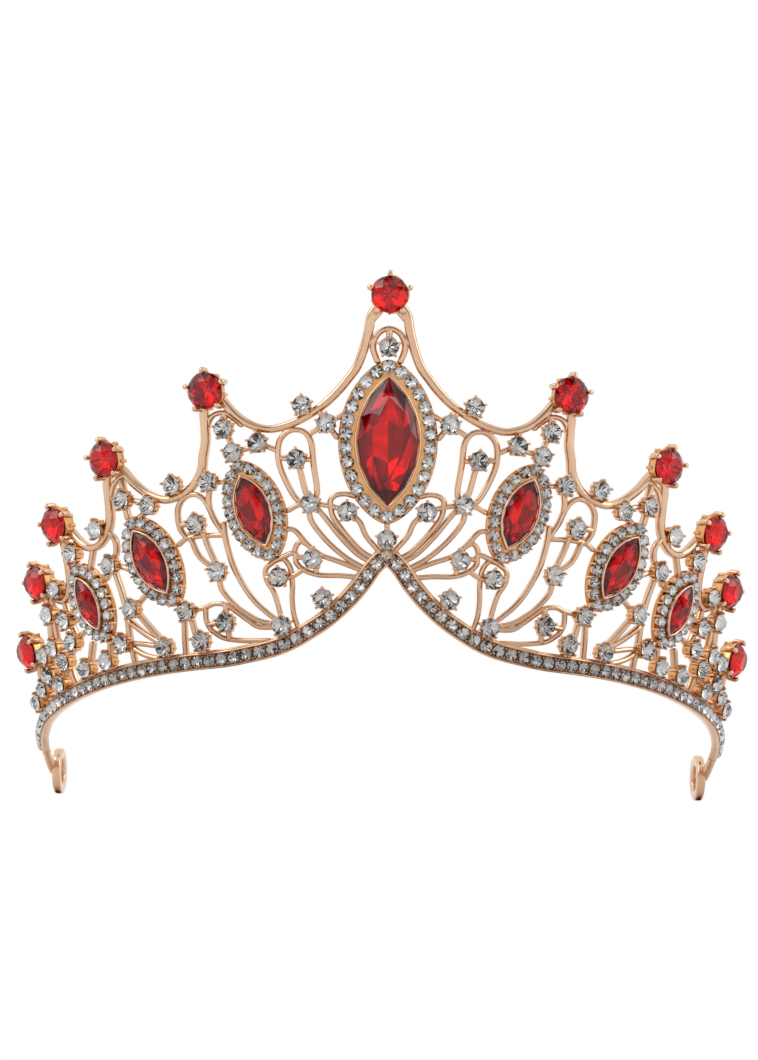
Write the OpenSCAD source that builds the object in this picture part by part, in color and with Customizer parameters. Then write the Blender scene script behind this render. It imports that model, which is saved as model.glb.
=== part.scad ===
// Gem-set crown (tiara): open cast-metal wall with claw-set stones, channel-set
// lower band and two end eyelets. Millimetres. The wall is laid out flat as
// (s, h): s = arc length from the front centre along the band plane, h = height
// up the leaning wall. It is then bent onto a flared, compound-radius shell.

/* [Wall shape] */
// lean of the wall outward from upright, before the crown is stood on its feet
flare = 20; // [8:1:30]
// plan radius over the front of the crown
r_front = 92; // [80:1:110]
// plan radius over the shoulders
r_shoulder = 77; // [65:1:95]
// plan radius along the sides
r_side = 69; // [55:1:90]
// plan radius of the plain tail behind the last band stone
r_tail = 150; // [60:10:300]
// forward tilt that stands the crown on its front band and both eyelets
stand_tilt = 4; // [0:0.5:8]

/* [Band] */
// height of the stone channel
band_h = 3.6; // [3:0.1:4.5]
// thickness of the band
band_t = 2; // [1.6:0.1:2.6]
// spacing of the band stones
band_pitch = 2.9; // [2.8:0.05:3.3]
// number of stones in each half band
band_count = 44; // [38:1:44]

/* [Eyelets] */
// outside diameter of an end eyelet
eyelet_od = 11; // [9:0.5:12]
// hole diameter of an end eyelet
eyelet_id = 6; // [4:0.5:7]
// thickness of an end eyelet
eyelet_t = 2; // [1.6:0.1:2.4]

/* [Stones] */
// diameter of the round stones on the peaks
peak_d = 8; // [7:0.1:8.4]
// diameter of the small claw-set stones
small_d = 4.1; // [3.6:0.1:4.3]
// diameter of the band stones
band_d = 2.6; // [2.2:0.05:2.75]

/* [Wire] */
// width of the scalloped rim wire seen from the front
rim_w = 1.7; // [1.2:0.1:2.2]
// width of the filigree wires seen from the front
wire_w = 1.15; // [0.9:0.05:1.5]

/* [Hidden] */
$fn = 48;
eps = 0.01;
vary_w = 0.05;
vary_t = 0.11;
depth_f = 1.75;
depth_b = 1.95;
brk = [25, 80, 115];
rr = [r_front, r_shoulder, r_side, r_tail];
gold = "#d9a877";
clear_c = "#dfe3e8";
red_c = "#b3121f";

// ---- bent wall: plan curve made of four tangent arcs
function dg(len, r) = len / r * 180 / PI;
a1 = dg(brk[0], rr[0]);
a2 = a1 + dg(brk[1] - brk[0], rr[1]);
a3 = a2 + dg(brk[2] - brk[1], rr[2]);
p1 = [rr[0] * sin(a1), rr[0] * (1 - cos(a1))];
p2 = p1 + rr[1] * [sin(a2) - sin(a1), cos(a1) - cos(a2)];
p3 = p2 + rr[2] * [sin(a3) - sin(a2), cos(a2) - cos(a3)];
function th(s) = s < brk[0] ? dg(s, rr[0])
    : s < brk[1] ? a1 + dg(s - brk[0], rr[1])
    : s < brk[2] ? a2 + dg(s - brk[1], rr[2])
    : a3 + dg(s - brk[2], rr[3]);
function plan(s) = s < brk[0] ? rr[0] * [sin(th(s)), 1 - cos(th(s))]
    : s < brk[1] ? p1 + rr[1] * [sin(th(s)) - sin(a1), cos(a1) - cos(th(s))]
    : s < brk[2] ? p2 + rr[2] * [sin(th(s)) - sin(a2), cos(a2) - cos(th(s))]
    : p3 + rr[3] * [sin(th(s)) - sin(a3), cos(a3) - cos(th(s))];
// point on the wall, o = distance out of the wall face
function pt(s, h, o = 0) = let (a = abs(s), t = th(a), c = plan(a),
        d = h * sin(flare) + o * cos(flare),
        x = c[0] + sin(t) * d, y = c[1] - cos(t) * d)
    [s < 0 ? -x : x, y, h * cos(flare) - o * sin(flare)];
function nrm(s) = let (t = th(abs(s)), q = s < 0 ? -1 : 1)
    [q * sin(t) * cos(flare), -cos(t) * cos(flare), -sin(flare)];
function unit(v) = v / max(norm(v), 1e-6);

// ---- how the crown stands: front of the band and both eyelets on the ground
eye_s = 135.5;
eye_h = -3.55;
eye_in = 1.2;
function tilt_z(p) = p[1] * sin(stand_tilt) + p[2] * cos(stand_tilt);
foot_f = tilt_z(pt(33, -0.7 - band_h / 2, band_t / 2));
eye_n = sin(stand_tilt) * cos(th(eye_s));
foot_r = tilt_z(pt(eye_s, eye_h, -eye_in)) - eyelet_od / 2 * sqrt(1 - eye_n * eye_n) - abs(eye_n) * eyelet_t / 2;
lift = -min(foot_f, foot_r);
shift_y = -29.1;
module world() { translate([0, shift_y, lift]) rotate([stand_tilt, 0, 0]) children(); }
// puts a piece on the wall: x along the band, y up the wall, z out of the wall
module on_wall(s, h, spin = 0) {
    c = plan(abs(s));
    translate([s < 0 ? -c[0] : c[0], c[1], 0]) rotate([0, 0, s < 0 ? -th(-s) : th(s)])
        rotate([90 + flare, 0, 0]) translate([0, h, 0]) rotate([0, 0, spin]) children();
}
module side(q) { if (q < 0) mirror([1, 0, 0]) children(); else children(); }

// ---- layout, one side; [s, h] design positions; a third value turns the claws
peaks = [[32, 56.5], [54, 46.5], [70, 36.5], [80.5, 26.5], [92.5, 14]];
// settings: [s, h, stone length, stone width, lean, halo half length, halo half width, halo count]
set0 = [0, 43.5, 27, 13, 0, 15.9, 9, 26];
sets = [[25.5, 30, 15, 7, 16, 10, 5.2, 18],
        [48.25, 22.5, 15, 7, 22, 9.8, 5.1, 18],
        [66.5, 17.5, 12, 5.5, 15, 8.3, 4.7, 16]];
small0 = [[0, 63.5], [0, 22.75]];
small = [[15.25, 51.5], [11, 47.5], [29.75, 48], [23.75, 44.25], [28.5, 42.75],
    [16.75, 40.25], [33.75, 37.25], [14.5, 30.75], [7.5, 28.75], [14.5, 19],
    [21.5, 15.5], [37.25, 28.75], [34, 18], [21.5, 5.25], [12.75, 10.5],
    [33.5, 7], [42, 10.5], [39.5, 3.75], [41, 37.75], [46.75, 34.5],
    [52.25, 37], [60, 32.5], [58.5, 24], [68, 29.25], [55.25, 13.5],
    [48.5, 3.75], [59.5, 6.75], [65, 4], [72.25, 4], [75.25, 16],
    [74.75, 10.75], [79.25, 7.5], [75.75, 23.25], [80.75, 19], [82.25, 11.5],
    [87, 11.25, 30], [87.5, 6.5, 48], [83.5, 3.5], [92.25, 4.75], [98.25, 3.5]];
band_keys = [[0, 19.5], [2.5, 17], [5, 13.25], [8, 9.75], [12, 6.25], [16, 3.75],
    [20, 1.75], [24, 0.5], [29, -0.25], [35, -0.7], [42, -0.5], [55, 0], [72, 0.3],
    [95, 0.2], [107, -0.2], [118, -0.7], [126, -1.7], [132, -3.4]];
rims = [[[0, 74.5], [2.75, 71], [3.5, 67], [4.25, 63.5], [5.5, 59.5], [7, 57], [8.75, 54.5],
        [11, 52], [13.5, 50], [16, 48.5], [18.5, 47.5], [21.5, 47], [24.5, 48],
        [26.75, 49.75], [28.5, 52], [30, 54.5], [32, 56.5]],
    [[32, 56.5], [33.25, 53.5], [33.5, 49.5], [33.75, 46], [34.5, 43], [35, 40.5], [36, 38.5],
        [37.5, 36.75], [39.5, 35.5], [41.5, 35], [43.5, 35], [46, 36.25],
        [48, 38], [50, 40.5], [51.75, 43.5], [54, 46.5]],
    [[54, 46.5], [55.25, 43.5], [56, 41], [56.25, 38], [56.75, 34.5], [57.75, 32], [59.5, 30],
        [61.5, 29], [63.75, 29.25], [65.5, 30.5], [67, 32.5], [68.25, 34.5], [70, 36.5]],
    [[70, 36.5], [70.75, 33.5], [71, 30], [71.25, 26.5], [72, 23.5], [73.5, 21.25],
        [75.5, 20.5], [77.5, 21.5], [79, 23.75], [80.5, 26.5]],
    [[80.5, 26.5], [81.5, 23.5], [82.25, 20], [83, 16.5], [84.25, 13.25], [86.5, 10],
        [89, 9], [91, 11], [92.5, 14]],
    [[92.5, 14], [93.75, 11], [95, 8], [96.75, 5], [99, 2.75], [102, 1.5]]];
crest = [[[-2, 60.5], [-2.75, 63.5], [-2, 66.25], [0, 67.5], [2, 66.25], [2.75, 63.5], [2, 60.5]],
    [[0, 61], [0, 63.5], [0, 67.5], [0, 74.5]],
    [[-4.25, 63.5], [-2.25, 65.75]],
    [[4.25, 63.5], [2.25, 65.75]],
    [[0, 19.5], [0, 22.75], [0, 26]]];
// filigree between the centre frame and the second frame
front = [[[14.5, 30.75], [17, 31.5], [19, 35.5], [20.25, 40], [20, 44], [18.5, 46], [16.75, 46.5],
        [15, 45.75], [14, 43.5], [13.75, 39], [13.25, 33], [14.5, 30.75]],
    [[16.75, 40.25], [16.25, 37.5], [15.5, 33.5], [14.5, 30.75]],
    [[13.75, 40], [16.75, 40.25], [20.25, 40.75]],
    [[18.25, 46.25], [20, 47.5]],
    [[14.5, 45.25], [11, 47.5], [7.75, 49.5]],
    [[12.5, 50.5], [11, 47.5], [9.25, 44.5]],
    [[14.5, 30.75], [14.75, 27.5], [12, 23], [8, 19], [4, 16.5]],
    [[14.5, 30.75], [12.5, 28.5], [9.25, 23.75], [5.75, 19.75], [2.5, 17.75]],
    [[10.75, 30], [10.25, 27.5], [7.25, 23], [4.5, 20], [1.75, 18.5]],
    [[7.5, 28.75], [5.25, 26.5], [4, 23.5], [1.25, 20]],
    [[10.75, 30], [10.75, 31.25], [9.75, 32.25], [8, 32.5], [6.25, 32]],
    [[14.5, 30.75], [10.75, 30], [7.5, 28.75]],
    [[14.5, 30.75], [17, 30.5], [19, 29.5]],
    [[20, 25.5], [18, 25.25], [15.5, 22], [13, 19.75], [9.5, 18.25], [4.25, 16]],
    [[18.25, 20.5], [17.75, 22], [16.75, 22.75], [15.5, 22]],
    [[22.25, 19], [18.25, 20.5], [18, 18.5], [16.5, 16.75], [13.5, 15.5], [9.5, 15.25], [5, 14.75]],
    [[14, 15.75], [14.5, 19], [18, 19.5]],
    [[14.5, 19], [14.5, 21.25]],
    [[22.25, 19], [24.25, 17.5], [24.25, 15], [23, 12.5], [22.25, 9.5], [21.5, 5.25]],
    [[22.25, 19], [20.5, 19.25], [19.25, 17.25], [19, 14], [19.25, 10.5], [19, 7], [18, 3.75]],
    [[24.25, 15.5], [21.5, 15.5], [19, 15.5], [16.75, 16.75]],
    [[32, 28], [32, 25.5], [31.75, 23], [31.25, 20], [30.5, 17.5], [29.25, 14.5], [27.75, 11.75],
        [25.75, 9.25], [21.5, 5.25]],
    [[34, 18], [34, 14.25], [31.5, 10.5], [29, 8.25], [26.25, 6.5], [21.5, 5.25]],
    [[42, 10.5], [38, 10.75], [36, 11.25], [33.5, 10.75], [31.25, 9], [29, 7],
        [26.5, 5.25], [21.5, 5]],
    [[38, 10.75], [38.25, 8], [37.5, 6], [36.5, 5], [34.75, 3.75], [32, 3], [28.5, 2.5], [24.5, 2.25]],
    [[33.5, 10.75], [33.5, 7], [33.5, 3.5]],
    [[33.5, 7], [37.75, 7]],
    [[40, 26], [41.25, 28.5], [41.25, 32], [40.25, 34], [38.75, 35], [37, 35], [35.5, 33.75],
        [34.5, 31.5], [33.75, 29], [32, 25.5]],
    [[38.75, 35], [38.25, 36.75]],
    [[42, 25], [40, 26], [36.25, 26], [32, 25.5]],
    [[36.25, 26], [37.25, 28.75], [41, 29]],
    [[36.25, 26], [35.75, 23.5], [34, 18]],
    [[39.25, 26], [37.75, 21.5], [34, 18]],
    [[33.75, 46], [33, 49.5], [31.75, 51.25], [29.75, 51.5], [28, 50], [26.75, 48.5]],
    [[29.75, 51.5], [29.75, 48], [28.5, 42.75], [28.75, 41]],
    [[24.25, 47.75], [23.75, 44.25], [28.5, 42.75]],
    [[23.75, 44.25], [20.25, 42.25]],
    [[31, 36.75], [33.75, 37.25], [36, 38.5]],
    [[33.75, 37.25], [34.5, 33.5], [34.5, 31.5]],
    [[12.75, 10.5], [11.5, 8]],
    [[21.5, 5.25], [21.5, 2.75]]];
// filigree behind the second frame, out to the last small stones
flank = [[[39.5, 1.25], [39.5, 3.75], [41, 5]],
    [[44, 12], [42, 10.5], [41.25, 6], [40.5, 1.25]],
    [[43, 11.25], [43.75, 6], [44.25, 1.25]],
    [[47.5, 37.5], [46.75, 34.5], [50, 32.5]],
    [[50.5, 41], [52, 42.25], [54.25, 41], [55.75, 38.5]],
    [[46.75, 34.5], [52.25, 37], [52.5, 33]],
    [[52.25, 37], [52.5, 41.5]],
    [[58.25, 31.5], [56.75, 29.25], [57, 26.5], [58.5, 24], [57.75, 18], [57.5, 13], [58, 8], [58, 1.75]],
    [[54.5, 22], [58.5, 24], [61, 21.5]],
    [[51.75, 15.75], [55.25, 13.5], [57.5, 13.5]],
    [[55.25, 13.5], [53, 10], [48.5, 3.75]],
    [[57.5, 11.5], [53.5, 7.5], [48.5, 3.75]],
    [[59.5, 6.75], [54.5, 5.5], [48.5, 3.5]],
    [[58, 5.5], [55, 3.25], [51.5, 1.75]],
    [[48.5, 3.75], [48.5, 1.25]],
    [[59.5, 6.75], [62.75, 9]],
    [[64, 8], [65, 4], [65, 1.75]],
    [[62.75, 29], [65, 24.75]],
    [[69, 27], [68, 29.25], [67, 32.5]],
    [[68, 29.25], [71, 29]],
    [[69.5, 9], [72.25, 4], [72.25, 2]],
    [[72.5, 16], [75.25, 16], [80.75, 19], [82.5, 19]],
    [[75.5, 20.5], [75.25, 16], [74.75, 10.75], [79.25, 7.5], [79.25, 2]],
    [[71.75, 12], [74.75, 10.75]],
    [[79.5, 23.5], [80.75, 19], [82.25, 11.5], [83.5, 3.75], [83.5, 2]],
    [[79.25, 7.5], [82.25, 11.5], [86.75, 11], [87.5, 6.75], [87.5, 2]],
    [[79.25, 7.5], [83.5, 3.75], [87.5, 6.75], [92.25, 4.75], [98.25, 3.5], [98.25, 1.75]],
    [[92.5, 13], [92.25, 4.75], [92.25, 2]]];

// ---- curves: Catmull-Rom through the design points
function cr(a, b, c, d, u) = 0.5 * (2 * b + (c - a) * u + (2 * a - 5 * b + 4 * c - d) * u * u
    + (3 * b - a - 3 * c + d) * u * u * u);
function pick(p, i) = i < 0 ? 2 * p[0] - p[1]
    : i >= len(p) ? 2 * p[len(p) - 1] - p[len(p) - 2] : p[i];
function smooth(p, n) = [for (i = [0 : len(p) - 2]) for (k = [0 : n - 1])
        cr(pick(p, i - 1), pick(p, i), pick(p, i + 1), pick(p, i + 2), k / n), p[len(p) - 1]];
function along(p, i) = unit(pick(p, i + 1) - pick(p, i - 1));
// four-sided wire section at a point of a flat path
function corners(p, i, w, t) = let (s = p[i][0], h = p[i][1], d = along(p, i), m = [-d[1], d[0]] * w / 2)
    [pt(s + m[0], h + m[1], -t / 2), pt(s + m[0], h + m[1], t / 2),
        pt(s - m[0], h - m[1], t / 2), pt(s - m[0], h - m[1], -t / 2)];
module wire(path, w, t, n = 2) {
    p = len(path) > 2 ? smooth(path, n) : path;
    rg = [for (i = [0 : len(p) - 1]) corners(p, i, w, t)];
    for (i = [0 : len(p) - 2])
        hull() polyhedron(points = concat(rg[i], rg[i + 1]),
            faces = [[0, 1, 2, 3], [7, 6, 5, 4], [0, 4, 5, 1], [1, 5, 6, 2], [2, 6, 7, 3], [3, 7, 4, 0]]);
}
// oval wire under the edge of a framed stone
function oval_path(q, grow) = [for (k = [0 : 12]) let (v = ov(q[5] + grow, q[6] + grow, k * 30),
        e = q[4]) [q[0] + v[0] * cos(e) + v[1] * sin(e), q[1] - v[0] * sin(e) + v[1] * cos(e)]];
// thin rail along the top edge of the band, where the filigree lands
function rail_path() = [for (k = [0.4 : 1.4 : 35.4]) let (l = k * 2.9, c = band_at(l), b = band_at(l - 0.5),
        e = band_at(l + 0.5), d = unit(e - b)) [c[0] - d[1] * (band_h / 2 + 0.15), c[1] + d[0] * (band_h / 2 + 0.15)]];

// ---- band: a swept channel, open to the front
bp = smooth(band_keys, 6);
function sum_to(p, i, acc = 0) = i < 1 ? acc
    : sum_to(p, i - 1, acc + norm(pt(p[i][0], p[i][1], 0) - pt(p[i - 1][0], p[i - 1][1], 0)));
bl = [for (i = [0 : len(bp) - 1]) sum_to(bp, i)];
function band_s(l) = lookup(l, [for (i = [0 : len(bp) - 1]) [bl[i], bp[i][0]]]);
function band_at(l) = [band_s(l), lookup(l, [for (i = [0 : len(bp) - 1]) [bl[i], bp[i][1]]])];
band_len = (band_count + 0.5) * band_pitch;
channel_in = band_d / 2 + 0.08;
section = [[-band_h / 2, -band_t / 2], [band_h / 2, -band_t / 2], [band_h / 2, band_t / 2],
    [channel_in, band_t / 2], [channel_in, -band_t / 2 + 0.7], [-channel_in, -band_t / 2 + 0.7],
    [-channel_in, band_t / 2], [-band_h / 2, band_t / 2]];
function band_ring(l) = let (c = band_at(l), e = band_at(l + 0.5), b = band_at(max(l - 0.5, 0)),
        d = l < 0.01 ? [1, 0] : unit(e - b), m = [-d[1], d[0]])
    [for (q = section) pt(c[0] + m[0] * q[0], c[1] + m[1] * q[0], q[1])];
module half_band() {
    n = 50;
    rows = [for (i = [0 : n]) band_ring(i * band_len / n)];
    k = len(section);
    polyhedron(points = [for (r = rows) for (q = r) q],
        faces = concat([[for (j = [0 : k - 1]) j]],
            [for (i = [0 : n - 1]) for (j = [0 : k - 1])
                [i * k + j, (i + 1) * k + j, (i + 1) * k + (j + 1) % k]],
            [for (i = [0 : n - 1]) for (j = [0 : k - 1])
                [i * k + j, (i + 1) * k + (j + 1) % k, i * k + (j + 1) % k]],
            [[for (j = [k - 1 : -1 : 0]) n * k + j]]));
}
// plain tail: six flat links from the end of the channel into the eyelet
module tail() {
    l0 = band_len - 0.5;
    n = 6;
    for (i = [0 : n - 1]) hull() for (k = [i, i + 1]) {
        f = k / n;
        q = band_at(l0 + f * (bl[len(bl) - 1] - l0));
        w = band_h * (1 - f) + 2.6 * f;
        for (u = [-w / 2, w / 2]) for (o = [-band_t / 2, band_t / 2 - 0.2])
            translate(pt(q[0], q[1] + u, o)) cube(eps, center = true);
    }
}
module eyelet() {
    tail();
    translate(pt(eye_s, eye_h, -eye_in)) rotate([90, 0, th(eye_s)]) translate([0, 0, -eyelet_t / 2]) difference() {
        cylinder(d = eyelet_od, h = eyelet_t);
        translate([0, 0, -1]) cylinder(d = eyelet_id, h = eyelet_t + 2);
    }
}

// ---- stones: flat-topped round cut and pointed-oval cut
module round_stone(d, girdle, top, deep, base = 0.12) {
    rotate_extrude() polygon([[0, -deep], [d * base, -deep], [d / 2, 0], [d / 2, girdle],
        [d * 0.3, girdle + top], [0, girdle + top]]);
}
function lens_r(l, w) = (l * l + w * w) / (4 * w);
module lens(l, w, h) {
    r = lens_r(l, w);
    intersection() {
        translate([r - w / 2, 0, 0]) cylinder(r = r, h = h);
        translate([w / 2 - r, 0, 0]) cylinder(r = r, h = h);
    }
}
module lens_stone(l, w, girdle, top, deep) {
    r = lens_r(l, w);
    q = w * 0.3;
    intersection() {
        for (sx = [1]) translate([r - w / 2, 0, 0]) rotate_extrude()
            polygon([[0, -deep], [r - q, -deep], [r, 0], [r, girdle], [r - q, girdle + top], [0, girdle + top]]);
        translate([w / 2 - r, 0, 0]) rotate_extrude()
            polygon([[0, -deep], [r - q, -deep], [r, 0], [r, girdle], [r - q, girdle + top], [0, girdle + top]]);
    }
}

// ---- settings
// slightly pointed oval, half length a along y, half width b along x, clockwise from its top
function ov(a, b, t) = [b * sign(sin(t)) * pow(abs(sin(t)), 1.3), a * cos(t)];
function oval(a, b, n) = [for (i = [0 : n - 1]) ov(a, b, 360 * i / n)];
// equally spaced positions round an oval, clockwise from its top
function oval_len(a, b, t) = let (n = max(2, ceil(t / 5)))
    sum_seg([for (i = [0 : n]) ov(a, b, t * i / n)], n);
function sum_seg(p, i, acc = 0) = i < 1 ? acc : sum_seg(p, i - 1, acc + norm(p[i] - p[i - 1]));
function oval_table(a, b) = [for (t = [0 : 5 : 360]) [oval_len(a, b, t), t]];
function halo_at(k, n, a, b, table) = let (t = lookup(k / n * table[len(table) - 1][0], table))
    ov(a, b, t);
module halo_places(q, half = 0) {
    tb = oval_table(q[5], q[6]);
    for (k = [0 : q[7] - 1]) translate(concat(halo_at(k + half, q[7], q[5], q[6], tb), [0])) children();
}
module setting(q) {
    d = halo_d(q) + 0.15;
    difference() {
        translate([0, 0, -0.5]) linear_extrude(1) union() {
            polygon(oval(q[5] + 0.95, q[6] + 0.95, 48));
            halo_places(q) circle(d = d);
        }
        translate([0, 0, -2]) lens(q[2] - 1.6, q[3] - 1.6, 4);
    }
    translate([0, 0, 0.4]) difference() {
        lens(q[2] + 1.3, q[3] + 1, 1.7);
        translate([0, 0, -1]) lens(q[2] + 0.2, q[3] + 0.2, 4);
    }
    halo_claws(q);
}
module halo_claws(q) {
    tb = oval_table(q[5] + 1.15, q[6] + 1.15);
    for (k = [0 : q[7] - 1]) translate(concat(halo_at(k + 0.5, q[7], q[5] + 1.15, q[6] + 1.15, tb), [-0.4]))
        cylinder(r = 0.36, h = 1.9);
}
function halo_d(q) = q[7] > 20 ? 2.85 : q[7] > 16 ? 2.5 : 2.4;
module halo_stones(q) {
    d = halo_d(q);
    halo_places(q) translate([0, 0, 1.1]) round_stone(d, 0.15, 0.6, 0.58, 0.2);
}
// claw cup: tapered wall, floor and upright claws
module cup(d, rim, deep, claws, cr) {
    rotate_extrude() polygon([[0, -0.7], [d * 0.4, -0.7], [d / 2 + 0.05, rim], [d / 2 - 0.3, rim],
        [d * 0.4 - 0.5, rim - deep], [0, rim - deep]]);
    for (k = [0 : claws - 1]) rotate([0, 0, 90 + k * 360 / claws])
        translate([d / 2 + cr * 0.95, 0, -0.3]) cylinder(r = cr, h = rim + 1.1);
}
module small_cup() { cup(small_d, 1.9, 1.9, 5, 0.32); }
module peak_cup() { cup(peak_d, 2.6, 2.6, 5, 0.6); }
module small_stone() { translate([0, 0, 1.92]) round_stone(small_d, 0.2, 0.8, 1.2); }
module peak_stone() { translate([0, 0, 2.62]) round_stone(peak_d, 0.3, 1.5, 1.6); }

peak0 = [0, 74.5];
module place(list) { for (q = list) on_wall(q[0], q[1], len(q) > 2 ? q[2] : 0) children(); }
module band_stones(q) {
    side(q) for (k = [1 : band_count]) { c = band_at(k * band_pitch);
        on_wall(c[0], c[1]) translate([0, 0, 0.72]) round_stone(band_d, 0.12, 0.55, 0.95, 0.15); }
}
module band_left() { color(gold) world() side(-1) half_band(); }
module band_right() { color(gold) world() side(1) half_band(); }
module eyelet_left() { color(gold) world() side(-1) eyelet(); }
module eyelet_right() { color(gold) world() side(1) eyelet(); }
module rim_half(q) { color(gold) world() side(q) union() { for (r = rims) wire(r, rim_w, 2.3, 1); } }
module rim_left() { rim_half(-1); }
module rim_right() { rim_half(1); }
module crest_wires() { color(gold) world() union() {
    for (r = crest) wire(r, wire_w, 1.7);
    wire(oval_path(set0, 1.1), wire_w, 1.2, 1); } }
module filigree(q) { color(gold) world() side(q) union() {
    for (i = [0 : len(front) - 1]) wire(front[i], wire_w - vary_w * (i % 3), depth_f - vary_t * (i % 5), 1);
    for (i = [0 : len(flank) - 1]) wire(flank[i], wire_w - vary_w * (i % 3), depth_b - vary_t * (i % 5), 1);
    for (r = sets) wire(oval_path(r, 1), wire_w, 1.2, 1);
    wire(rail_path(), 0.7, 0.8, 1); } }
module filigree_left() { filigree(-1); }
module filigree_right() { filigree(1); }
module at_set(k, q) {
    if (k == 0) world() on_wall(0, set0[1]) children();
    else world() side(q) on_wall(sets[k - 1][0], sets[k - 1][1], -sets[k - 1][4]) children();
}
function set_of(k) = k == 0 ? set0 : sets[k - 1];
module frame_of(k, q) { color(gold) at_set(k, q) setting(set_of(k)); }
module gem_of(k, q) { color(red_c) at_set(k, q) translate([0, 0, 1.1])
    lens_stone(set_of(k)[2], set_of(k)[3], 0.35, k == 0 ? 2.2 : 1.4, k == 0 ? 1.2 : 1); }
module halo_of(k, q) { color(clear_c) at_set(k, q) halo_stones(set_of(k)); }
module ruby(k, q) { color(red_c) world() side(q) on_wall(k == 0 ? 0 : peaks[k - 1][0], k == 0 ? peak0[1] : peaks[k - 1][1]) peak_stone(); }
module setting_centre() { frame_of(0, 1); }
module setting_left_1() { frame_of(1, -1); }
module setting_left_2() { frame_of(2, -1); }
module setting_left_3() { frame_of(3, -1); }
module setting_right_1() { frame_of(1, 1); }
module setting_right_2() { frame_of(2, 1); }
module setting_right_3() { frame_of(3, 1); }
module peak_cup_centre() { color(gold) world() on_wall(0, peak0[1]) peak_cup(); }
module peak_cups_left() { color(gold) world() side(-1) place(peaks) peak_cup(); }
module peak_cups_right() { color(gold) world() side(1) place(peaks) peak_cup(); }
module small_cups_centre() { color(gold) world() place(small0) small_cup(); }
module small_cups_left() { color(gold) world() side(-1) place(small) small_cup(); }
module small_cups_right() { color(gold) world() side(1) place(small) small_cup(); }
module peak_stone_centre() { ruby(0, 1); }
module peak_stone_left_1() { ruby(1, -1); }
module peak_stone_left_2() { ruby(2, -1); }
module peak_stone_left_3() { ruby(3, -1); }
module peak_stone_left_4() { ruby(4, -1); }
module peak_stone_left_5() { ruby(5, -1); }
module peak_stone_right_1() { ruby(1, 1); }
module peak_stone_right_2() { ruby(2, 1); }
module peak_stone_right_3() { ruby(3, 1); }
module peak_stone_right_4() { ruby(4, 1); }
module peak_stone_right_5() { ruby(5, 1); }
module marquise_centre() { gem_of(0, 1); }
module marquise_left_1() { gem_of(1, -1); }
module marquise_left_2() { gem_of(2, -1); }
module marquise_left_3() { gem_of(3, -1); }
module marquise_right_1() { gem_of(1, 1); }
module marquise_right_2() { gem_of(2, 1); }
module marquise_right_3() { gem_of(3, 1); }
module halo_centre() { halo_of(0, 1); }
module halo_left_1() { halo_of(1, -1); }
module halo_left_2() { halo_of(2, -1); }
module halo_left_3() { halo_of(3, -1); }
module halo_right_1() { halo_of(1, 1); }
module halo_right_2() { halo_of(2, 1); }
module halo_right_3() { halo_of(3, 1); }
module small_stones_centre() { color(clear_c) world() place(small0) small_stone(); }
module small_stones_left() { color(clear_c) world() side(-1) place(small) small_stone(); }
module small_stones_right() { color(clear_c) world() side(1) place(small) small_stone(); }
module band_stones_left() { color(clear_c) world() band_stones(-1); }
module band_stones_right() { color(clear_c) world() band_stones(1); }
module band_stone_apex() { color(clear_c) world() on_wall(0, band_at(0)[1]) translate([0, 0, 0.72])
    round_stone(band_d, 0.12, 0.55, 0.95, 0.15); }

band_left();
band_right();
eyelet_left();
eyelet_right();
rim_left();
rim_right();
crest_wires();
filigree_left();
filigree_right();
setting_centre();
setting_left_1();
setting_left_2();
setting_left_3();
setting_right_1();
setting_right_2();
setting_right_3();
peak_cup_centre();
peak_cups_left();
peak_cups_right();
small_cups_centre();
small_cups_left();
small_cups_right();
peak_stone_centre();
peak_stone_left_1();
peak_stone_left_2();
peak_stone_left_3();
peak_stone_left_4();
peak_stone_left_5();
peak_stone_right_1();
peak_stone_right_2();
peak_stone_right_3();
peak_stone_right_4();
peak_stone_right_5();
marquise_centre();
marquise_left_1();
marquise_left_2();
marquise_left_3();
marquise_right_1();
marquise_right_2();
marquise_right_3();
halo_centre();
halo_left_1();
halo_left_2();
halo_left_3();
halo_right_1();
halo_right_2();
halo_right_3();
small_stones_centre();
small_stones_left();
small_stones_right();
band_stones_left();
band_stones_right();
band_stone_apex();
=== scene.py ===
import math
import random
from math import sin, cos, pi, radians, atan2, hypot, sqrt
import bpy
from mathutils import Vector, Matrix

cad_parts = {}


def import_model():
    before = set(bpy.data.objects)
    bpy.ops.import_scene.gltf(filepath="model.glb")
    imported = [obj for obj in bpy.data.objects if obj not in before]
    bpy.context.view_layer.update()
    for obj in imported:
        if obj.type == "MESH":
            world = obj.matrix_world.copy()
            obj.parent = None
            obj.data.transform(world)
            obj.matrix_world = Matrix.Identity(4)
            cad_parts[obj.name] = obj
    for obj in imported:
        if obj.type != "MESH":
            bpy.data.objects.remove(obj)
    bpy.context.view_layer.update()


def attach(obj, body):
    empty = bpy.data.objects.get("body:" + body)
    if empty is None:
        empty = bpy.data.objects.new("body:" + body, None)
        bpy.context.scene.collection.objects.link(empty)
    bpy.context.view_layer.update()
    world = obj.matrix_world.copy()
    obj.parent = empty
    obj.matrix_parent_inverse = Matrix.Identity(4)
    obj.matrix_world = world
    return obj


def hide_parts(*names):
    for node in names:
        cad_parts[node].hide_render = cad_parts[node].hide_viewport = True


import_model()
MM = 0.001

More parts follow.
